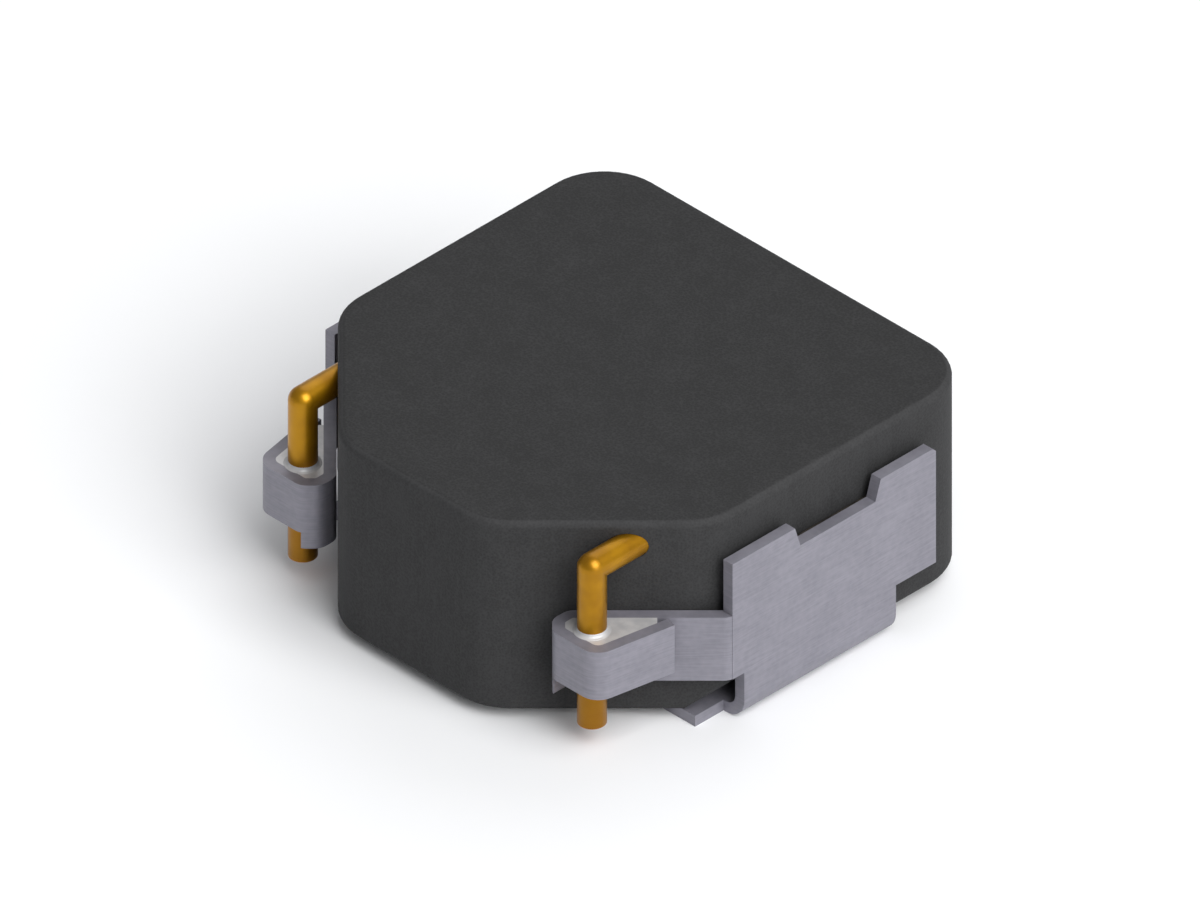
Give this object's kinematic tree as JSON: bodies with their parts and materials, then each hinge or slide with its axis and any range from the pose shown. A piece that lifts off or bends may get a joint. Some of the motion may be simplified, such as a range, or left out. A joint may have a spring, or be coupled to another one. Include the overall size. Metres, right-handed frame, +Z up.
{
  "type": "shielded smd inductor",
  "caption": "Low square block of moulded magnetic composite with an embedded wire coil, and folded sheet terminals that clip the wire ends and form solder feet.",
  "frame": {"origin": "centre of the footprint on the board, at the undersides of the two feet", "axes": "+X from the left terminal to the right one, +Y from the chamfered front to the back, +Z up from the board"},
  "size_m": [0.0132, 0.0126, 0.0056],
  "materials": {
    "magnetic_composite": "matt dark grey pressed iron powder composite",
    "enamelled_copper": "glossy amber enamel over copper",
    "tinned_sheet": "satin tin plate",
    "solder": "satin tin solder",
    "adhesive": "cured dark epoxy"
  },
  "bodies": {
    "root": {"body": "magnetic_composite", "winding": "enamelled_copper", "terminal_right": "tinned_sheet", "terminal_left": "tinned_sheet", "solder_right": "solder", "solder_left": "solder", "adhesive_right": "adhesive", "adhesive_left": "adhesive"}
  },
  "joints": []
}
